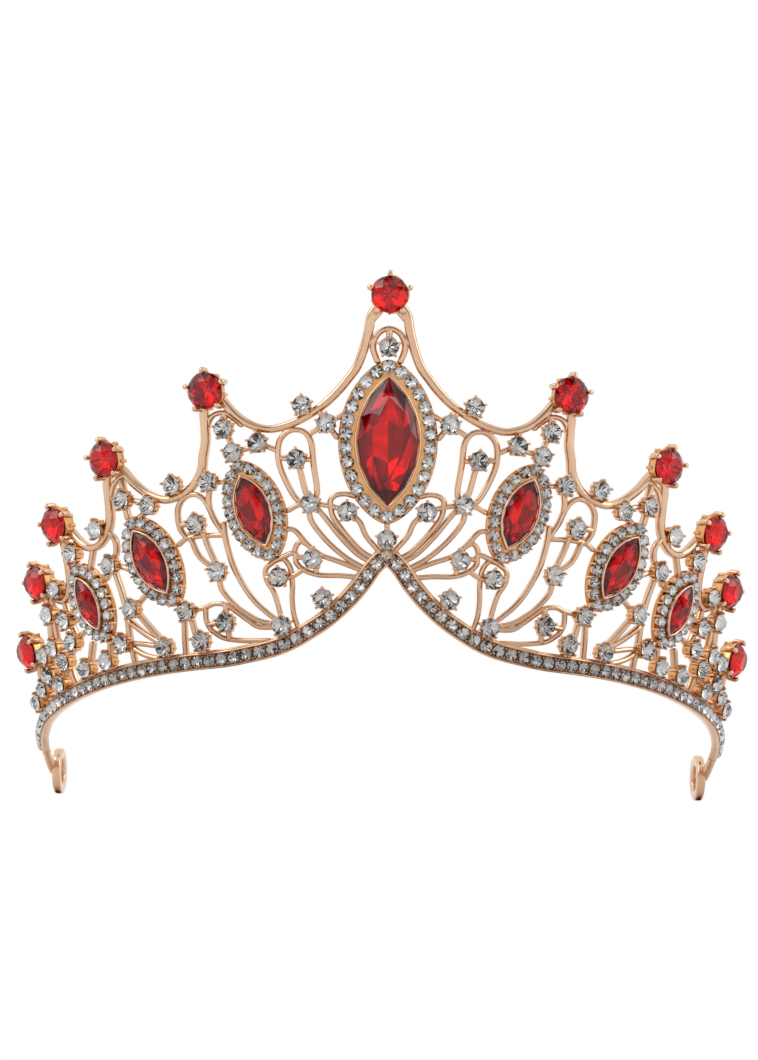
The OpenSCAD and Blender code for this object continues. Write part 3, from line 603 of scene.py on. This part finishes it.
CLEAR_M = stone_mat("clear_stone", (0.99, 0.99, 0.985), 1.55)
CLEAR_F = foil_mat("silver_foil", (0.95, 0.95, 0.945), (0.99, 0.99, 0.985), 0.06, 0.5)
# near-black silver foil: painted dark reflections on facets and painted shade on girdles
CLEAR_PAINTED_DARK = foil_mat("silver_foil_painted_dark", (0.02, 0.02, 0.022), (0.09, 0.09, 0.095), 0.12)
RED_M = stone_mat("red_stone", (0.92, 0.025, 0.05), 1.5)
RED_F = foil_mat("red_foil", (0.60, 0.010, 0.020), (0.90, 0.026, 0.040), 0.18, 1.0)
# dark maroon foil: painted dark reflections on facets and painted shade on girdles
RED_PAINTED_DARK = foil_mat("red_foil_painted_dark", (0.24, 0.006, 0.014), (0.36, 0.012, 0.022), 0.22)

GOLDS = [GOLD, RECESS_SHADE_GOLD, SMOOTH_GOLD]
CLEARS = [CLEAR_M, CLEAR_F, CLEAR_PAINTED_DARK]
REDS = [RED_M, RED_F, RED_PAINTED_DARK]


def emit(name, shape, mats, node):
    me = bpy.data.meshes.new(name)
    me.from_pydata([(x * MM, y * MM, z * MM) for x, y, z in shape.v], [], shape.f)
    for m in mats:
        me.materials.append(m)
    me.polygons.foreach_set("material_index", shape.m)
    me.polygons.foreach_set("use_smooth", shape.s)
    me.update()
    me.validate()
    ob = bpy.data.objects.new(name, me)
    bpy.context.scene.collection.objects.link(ob)
    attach(ob, "root")
    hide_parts(node)
    return ob


def both(stem, shape, mats, tail=""):
    """One piece for each side: the right one as built, the left one mirrored."""
    emit("vis_" + stem + "_right" + tail, shape, mats, stem + "_right" + tail)
    emit("vis_" + stem + "_left" + tail, shape.mirrored(), mats, stem + "_left" + tail)


# ---------------------------------------------------------------- band
def half_band():
    sh = Shape()
    lip, inn = BAND_H / 2, BAND_D / 2 + 0.12
    r = 0.22
    sec = [(-lip + r, -1.0), (lip - r, -1.0), (lip - 0.06, -1.0 + 0.06), (lip, -1.0 + r), (lip, 1.0 - r), (lip - 0.06, 0.94), (lip - r, 1.0),
        (inn + 0.08, 1.0), (inn, 0.94), (inn - 0.02, 0.15), (-inn + 0.02, 0.15), (-inn, 0.94), (-inn - 0.08, 1.0),
        (-lip + r, 1.0), (-lip + 0.06, 0.94), (-lip, 1.0 - r), (-lip, -1.0 + r), (-lip + 0.06, -0.94)]
    n = 220
    rings = []
    for i in range(n + 1):
        l = i * BAND_LEN / n
        c, d = band_at(l), band_dir(l)
        rings.append([pt(c[0] - d[1] * u, c[1] + d[0] * u, v) for u, v in sec])
    v, f = loops(rings)
    k = len(sec)
    f.append(list(range(k))[::-1])
    f.append([len(v) - k + j for j in range(k)])
    sh.add(v, f, 0, True)
    # a seat ring round every stone and grains between them
    for k in range(1, COUNT + 1):
        c = band_at(k * PITCH)
        at = place(c[0], c[1])
        d = band_dir(k * PITCH)
        lathe(sh, at, [(1.41, 0.55), (1.42, 0.88), (1.38, 0.95), (1.33, 0.92), (1.30, 0.7)], 16, 0)
        e = band_at((k + 0.5) * PITCH)
        at2 = place(e[0], e[1])
        d2 = band_dir((k + 0.5) * PITCH)
        if k < COUNT:
            for q in (-1, 1):
                bead(sh, at2, -d2[1] * q * 0.98, d2[0] * q * 0.98, 1.02, 0.24, 0.4, 6, 0)
    return sh


both("band", half_band(), GOLDS)


def tail():
    sh = Shape()
    l0, l1 = BAND_LEN - 0.5, bl[-1]
    n = 14
    rings = []
    for i in range(n + 1):
        f = i / n
        l = l0 + f * (l1 - l0)
        c, d = band_at(l), band_dir(min(l, l1 - 0.6))
        w = BAND_H * (1 - f) + 2.6 * f
        rings.append([pt(c[0] - d[1] * u, c[1] + d[0] * u, v * (0.95 if f < 0.9 else 0.9)) for u, v in rounded(w, BAND_T, 0.35, 2)])
    v, f = loops(rings)
    k = len(rings[0])
    f.append(list(range(k))[::-1])
    f.append([len(v) - k + j for j in range(k)])
    sh.add(v, f, 0, True)
    e0, t0 = wall(EYE_S, EYE_H, -EYE_IN), turn(EYE_S)

    def at(p):
        return world((e0[0] + cos(t0) * p[0] + sin(t0) * p[2], e0[1] + sin(t0) * p[0] - cos(t0) * p[2], e0[2] + p[1]))

    R, r = EYE_OD / 2, EYE_ID / 2
    sec = [(r, -0.6), (r + 0.16, -0.9), (r + 0.5, -1.0), (R - 0.5, -1.0), (R - 0.14, -0.86), (R, -0.5), (R, 0.5), (R - 0.14, 0.86), (R - 0.5, 1.0), (r + 0.5, 1.0), (r + 0.16, 0.9), (r, 0.6)]
    m = 48
    rings = [[at((q * cos(2 * pi * k / m), q * sin(2 * pi * k / m), z)) for q, z in sec] for k in range(m)]
    v, f = loops(rings, True, True)
    sh.add(v, f, 0, True, flip=True)
    return sh


both("eyelet", tail(), GOLDS)

# ---------------------------------------------------------------- wires
sh = Shape()
for r in rims:
    wire(sh, r, RIM_W, 2.25, 4)
both("rim", sh, GOLDS)

sh = Shape()
for r in crest:
    wire(sh, r, WIRE_W, 1.65, 4)


def ov(a, b, t):
    """Slightly pointed oval, half length a along y, half width b along x, clockwise from its top."""
    return (b * math.copysign(abs(sin(t)) ** 1.3, sin(t)), a * cos(t))


def joint_strip(shape, q, grow, w, z=-0.45, n=48):
    """Strip under the ring of small stones, where the wires join the frame; it takes the darker amber gold, painted
    shade.
    """
    at = place(q[0], q[1], -q[4])
    rings = []
    for k in range(n):
        c, e0, e1 = (ov(q[5] + grow, q[6] + grow, 2 * pi * (k + i) / n) for i in (0, -0.5, 0.5))
        d = unit2(e1[0] - e0[0], e1[1] - e0[1])
        rings.append([at((c[0] - d[1] * u, c[1] + d[0] * u, z + v)) for u, v in rounded(w, 0.9, 0.35, 2)])
    v, f = loops(rings, True, True)
    shape.add(v, f, 1, True, flip=True)


joint_strip(sh, set0, 1.12, 0.95)
emit("vis_crest_wires", sh, GOLDS, "crest_wires")

sh = Shape()
for i, r in enumerate(front):
    wire(sh, r, WIRE_W, 1.72 - 0.11 * (i % 5), 4)
for i, r in enumerate(flank):
    wire(sh, r, WIRE_W, 1.92 - 0.11 * (i % 5), 4)
for r in sets:
    joint_strip(sh, r, 1.0, 0.85)
rail = []
for k in range(26):
    l = (0.4 + 1.4 * k) * 2.9
    c, d = band_at(l), band_dir(l)
    rail.append((c[0] - d[1] * (BAND_H / 2 + 0.1), c[1] + d[0] * (BAND_H / 2 + 0.1)))
wire(sh, rail, 0.6, 1.0, 4)
both("filigree", sh, GOLDS)


# ---------------------------------------------------------------- framed stones
def oval_steps(a, b, n, half=0.0, m=360):
    """n places at equal spacing round an oval, clockwise from its top."""
    pts = [ov(a, b, 2 * pi * k / m) for k in range(m + 1)]
    acc = [0.0]
    for k in range(m):
        acc.append(acc[-1] + math.dist(pts[k], pts[k + 1]))
    out, j = [], 0
    for i in range(n):
        want = acc[-1] * ((i + half) % n) / n
        j = 0
        while acc[j + 1] < want:
            j += 1
        f = (want - acc[j]) / (acc[j + 1] - acc[j])
        out.append((pts[j][0] + f * (pts[j + 1][0] - pts[j][0]), pts[j][1] + f * (pts[j + 1][1] - pts[j][1])))
    return out


def halo_d(q):
    return 2.85 if q[7] > 20 else (2.5 if q[7] > 16 else 2.4)


def setting(q):
    sh = Shape()
    at = place(q[0], q[1], -q[4])
    d = halo_d(q)
    # base plate: pointed oval outside and inside, in the darker amber gold as painted shade
    m = 48
    inn = lens_pts(q[2] - 0.6, q[3] - 0.6, m // 2)
    ring0 = [ov(q[5] + 0.6, q[6] + 0.6, 2 * pi * k / 360) for k in range(360)]
    out = []
    for x, y in inn:
        t = atan2(x / (q[6] + 0.6), y / (q[5] + 0.6))
        out.append(min(ring0, key=lambda p: abs(atan2(p[0], p[1]) - atan2(x, y))))
    rings = [[at((x, y, -0.7)) for x, y in out], [at((x, y, 0.42)) for x, y in out], [at((x, y, 0.42)) for x, y in inn], [at((x, y, -0.7)) for x, y in inn]]
    v, f = loops(rings, True, False)
    sh.add(v, f, 1, False, flip=True)
    v, f = loops([rings[3], rings[0]])
    sh.add(v, f, 1, False, flip=True)

    # bezel round the pointed oval
    def ring(grow, z, k=24):
        return [at((x, y, z)) for x, y in lens_pts(q[2] + grow, q[3] + grow * 0.82, k)]

    prof = [(1.5, 0.3), (1.5, 1.0), (1.42, 1.75), (1.2, 2.05), (0.75, 2.1), (0.36, 1.95), (0.16, 1.5), (0.1, 0.5)]
    v, f = loops([ring(g, z) for g, z in prof])
    sh.add(v, f, 2, True)
    # a cup for every small stone, grains outside between them; cup floors and the lower grains in the darker amber gold
    # as painted shade
    for x, y in oval_steps(q[5], q[6], q[7]):
        loc = lambda p, x=x, y=y: at((p[0] + x, p[1] + y, p[2]))
        rg = lathe(sh, loc, [(d / 2 - 0.3, -0.75), (d / 2 - 0.1, 0.0), (d / 2 + 0.03, 0.6), (d / 2 + 0.05, 1.05), (d / 2 + 0.01, 1.16), (d / 2 - 0.06, 1.1)], 16, 0)
        cap(sh, rg[0], 1, False)
    for x, y in oval_steps(q[5] + 1.22, q[6] + 1.22, q[7], 0.5):
        bead(sh, at, x, y, 1.25, 0.31, 1.6, 8, 0)
        bead(sh, at, x * 0.965, y * 0.965, 0.9, 0.34, 1.2, 6, 1)
    for x, y in oval_steps(q[5] - 0.95, q[6] - 0.95, q[7], 0.5):
        bead(sh, at, x, y, 1.25, 0.22, 0.8, 6, 0)
    return sh


def halo(q):
    sh = Shape()
    at = place(q[0], q[1], -q[4])
    d = halo_d(q)
    rnd = random.Random(int(q[2] * 10 + q[0]))
    for x, y in oval_steps(q[5], q[6], q[7]):
        loc = lambda p, x=x, y=y: at((p[0] + x, p[1] + y, p[2]))
        brilliant(sh, loc, d / 2 + 0.0, 1.22, 0.5, 0.62, 0.12, 0.5, rnd.uniform(0, 1), rnd)
    return sh


def gem(q, big):
    sh = Shape()
    at = place(q[0], q[1], -q[4])
    navette(sh, at, q[2] + 0.05, q[3] + 0.05, 1.45, 0.3, 2.0 if big else 1.35, 1.5 if big else 1.2)
    return sh


emit("vis_setting_centre", setting(set0), GOLDS, "setting_centre")
emit("vis_halo_centre", halo(set0), CLEARS, "halo_centre")
emit("vis_marquise_centre", gem(set0, True), REDS, "marquise_centre")
for i, q in enumerate(sets):
    both("setting", setting(q), GOLDS, "_%d" % (i + 1))
    both("halo", halo(q), CLEARS, "_%d" % (i + 1))
    both("marquise", gem(q, False), REDS, "_%d" % (i + 1))

# ---------------------------------------------------------------- claw-set stones
def small_cup(sh, q):
    claw_cup(sh, place(q[0], q[1], q[2] if len(q) > 2 else 0), SMALL_D / 2, 1.75, 1.9, 5, 0.33, 0.85)


def small_stone(sh, q, rnd):
    brilliant(sh, place(q[0], q[1]), SMALL_D / 2 - 0.04, 1.92, 1.15, 1.15, 0.16, 0.5, rnd.uniform(0, 1), rnd)


def peak_cup(sh, q):
    claw_cup(sh, place(q[0], q[1]), PEAK_D / 2, 2.45, 2.6, 5, 0.6, 1.25)


def peak_stone(sh, q, rnd):
    brilliant(sh, place(q[0], q[1]), PEAK_D / 2 - 0.05, 2.62, 1.8, 1.7, 0.25, 0.5, rnd.uniform(0, 1), rnd, 0.28)


sh = Shape()
for q in small:
    small_cup(sh, q)
both("small_cups", sh, GOLDS)
sh = Shape()
for q in small0:
    small_cup(sh, q)
emit("vis_small_cups_centre", sh, GOLDS, "small_cups_centre")
rnd = random.Random(4)
sh = Shape()
for q in small:
    small_stone(sh, q, rnd)
both("small_stones", sh, CLEARS)
sh = Shape()
for q in small0:
    small_stone(sh, q, rnd)
emit("vis_small_stones_centre", sh, CLEARS, "small_stones_centre")

sh = Shape()
for q in peaks:
    peak_cup(sh, q)
both("peak_cups", sh, GOLDS)
sh = Shape()
peak_cup(sh, peak0)
emit("vis_peak_cup_centre", sh, GOLDS, "peak_cup_centre")
sh = Shape()
peak_stone(sh, peak0, rnd)
emit("vis_peak_stone_centre", sh, REDS, "peak_stone_centre")
for i, q in enumerate(peaks):
    sh = Shape()
    peak_stone(sh, q, rnd)
    both("peak_stone", sh, REDS, "_%d" % (i + 1))

# ---------------------------------------------------------------- band stones
rnd = random.Random(9)
sh = Shape()
for k in range(1, COUNT + 1):
    c = band_at(k * PITCH)
    brilliant(sh, place(c[0], c[1]), BAND_D / 2 + 0.02, 1.0, 0.56, 0.7, 0.1, 0.5, rnd.uniform(0, 1), rnd)
both("band_stones", sh, CLEARS)
sh = Shape()
brilliant(sh, place(0, band_at(0)[1]), BAND_D / 2 + 0.02, 1.0, 0.56, 0.7, 0.1, 0.5, 0.2, rnd)
emit("vis_band_stone_apex", sh, CLEARS, "band_stone_apex")

# ---------------------------------------------------------------- camera, as the picture was taken: from the front, a little below the band
CAM_E, CAM_YAW, CAM_ROLL, CAM_D = radians(-21.10), radians(0.72), radians(0.45), 560.0
CAM_T = (-1.567, 0.0, 26.60)
fwd = (sin(CAM_YAW) * cos(CAM_E), cos(CAM_YAW) * cos(CAM_E), -sin(CAM_E))
rgt = (cos(CAM_YAW), -sin(CAM_YAW), 0.0)
up0 = Vector(rgt).cross(Vector(fwd))
r2 = Vector(rgt) * cos(CAM_ROLL) + up0 * sin(CAM_ROLL)
u2 = Vector(rgt) * -sin(CAM_ROLL) + up0 * cos(CAM_ROLL)
pos = Vector(CAM_T) - Vector(fwd) * CAM_D
cam_data = bpy.data.cameras.new("camera")
cam = bpy.data.objects.new("camera", cam_data)
bpy.context.scene.collection.objects.link(cam)
R, U, B = Vector(tilt(r2)), Vector(tilt(u2)), -Vector(tilt(fwd))
mat = Matrix(((R.x, U.x, B.x, 0), (R.y, U.y, B.y, 0), (R.z, U.z, B.z, 0), (0, 0, 0, 1)))
P = Vector(world(tuple(pos))) * MM
mat.translation = P
cam.matrix_world = mat
cam_data.sensor_fit = "VERTICAL"
cam_data.sensor_height = 36.0
cam_data.sensor_width = 36.0
cam_data.lens = 36.0 * 2605.8 / 1060.0
cam_data.clip_start = 0.01
cam_data.clip_end = 20
bpy.context.scene.camera = cam

# ---------------------------------------------------------------- floor: pale, seen from above only, because the camera is below the band
fl = bpy.data.meshes.new("floor")
S = 3.0
N = 24
fv, ff = [], []
for i in range(N + 1):
    for j in range(N + 1):
        fv.append((-S + 2 * S * i / N, -S + 2 * S * j / N, 0.0))
for i in range(N):
    for j in range(N):
        a = i * (N + 1) + j
        ff.append((a, a + N + 1, a + N + 2, a + 1))
fl.from_pydata(fv, [], ff)
floor = bpy.data.objects.new("floor", fl)
bpy.context.scene.collection.objects.link(floor)
fm = bpy.data.materials.new("floor_paper")
fm.use_nodes = True
nt = fm.node_tree
pb = nt.nodes["Principled BSDF"]
pb.inputs["Base Color"].default_value = (0.86, 0.86, 0.86, 1)
pb.inputs["Roughness"].default_value = 0.8
tr = nt.nodes.new("ShaderNodeBsdfTransparent")
mx = nt.nodes.new("ShaderNodeMixShader")
geo = nt.nodes.new("ShaderNodeNewGeometry")
nt.links.new(geo.outputs["Backfacing"], mx.inputs[0])
nt.links.new(pb.outputs[0], mx.inputs[1])
nt.links.new(tr.outputs[0], mx.inputs[2])
nt.links.new(mx.outputs[0], nt.nodes["Material Output"].inputs["Surface"])
fl.materials.append(fm)

# ---------------------------------------------------------------- light: a white tent with a greyer front, and soft boxes
w = bpy.data.worlds.new("studio")
bpy.context.scene.world = w
w.use_nodes = True
nt = w.node_tree
nt.nodes.clear()
N_, L_ = nt.nodes.new, nt.links.new
out = N_("ShaderNodeOutputWorld")
tc = N_("ShaderNodeTexCoord")


def patch(direction, inner, outer):
    """1 inside a round patch of sky about a direction, falling to 0 at its edge."""
    d = Vector(direction).normalized()
    dot = N_("ShaderNodeVectorMath"); dot.operation = "DOT_PRODUCT"
    dot.inputs[1].default_value = d
    L_(tc.outputs["Generated"], dot.inputs[0])
    mr = N_("ShaderNodeMapRange"); mr.interpolation_type = "SMOOTHSTEP"
    mr.inputs["From Min"].default_value = cos(radians(outer))
    mr.inputs["From Max"].default_value = cos(radians(inner))
    L_(dot.outputs["Value"], mr.inputs["Value"])
    return mr.outputs["Result"]


def darken(prev, fac, colour):
    mx = N_("ShaderNodeMix"); mx.data_type = "RGBA"
    L_(fac, mx.inputs["Factor"])
    if isinstance(prev, tuple):
        mx.inputs["A"].default_value = prev
    else:
        L_(prev, mx.inputs["A"])
    mx.inputs["B"].default_value = colour
    return mx.outputs["Result"]


sky = (1.0, 1.0, 1.0, 1)
TO_CAM = tuple(P.normalized())
sky = darken(sky, patch(TO_CAM, 24, 62), (0.20, 0.195, 0.19, 1))
sky = darken(sky, patch(TO_CAM, 7, 13), (0.02, 0.02, 0.02, 1))
for d, a in (((-0.75, -0.62, 0.12), 9), ((0.8, -0.55, 0.2), 9), ((0.1, -0.45, 0.9), 10), ((-0.35, -0.6, -0.75), 9), ((0.45, -0.5, -0.72), 8), ((-0.3, -0.8, 0.5), 7), ((0.42, -0.75, 0.5), 7)):
    sky = darken(sky, patch(d, a - 2, a + 1), (0.03, 0.03, 0.03, 1))
bg1 = N_("ShaderNodeBackground"); bg1.inputs["Strength"].default_value = 1.0
L_(sky, bg1.inputs["Color"])
bg2 = N_("ShaderNodeBackground"); bg2.inputs["Color"].default_value = (1, 1, 1, 1); bg2.inputs["Strength"].default_value = 1.0
lp = N_("ShaderNodeLightPath")
ms = N_("ShaderNodeMixShader")
L_(lp.outputs["Is Camera Ray"], ms.inputs[0])
L_(bg1.outputs[0], ms.inputs[1]); L_(bg2.outputs[0], ms.inputs[2])
L_(ms.outputs[0], out.inputs["Surface"])


def area(name, at, target, size, power):
    d = bpy.data.lights.new(name, "AREA")
    d.shape = "RECTANGLE"
    d.size, d.size_y = size
    d.energy = power
    o = bpy.data.objects.new(name, d)
    bpy.context.scene.collection.objects.link(o)
    o.location = at
    o.rotation_euler = (Vector(target) - Vector(at)).to_track_quat("-Z", "Y").to_euler()
    return o


area("key_left", (-0.55, -0.45, 0.45), (0, 0, 0.03), (0.35, 0.5), 1.3)
area("key_right", (0.6, -0.3, 0.3), (0, 0, 0.03), (0.25, 0.5), 0.9)

bpy.context.scene.view_settings.view_transform = "Standard"
bpy.context.scene.view_settings.look = "None"
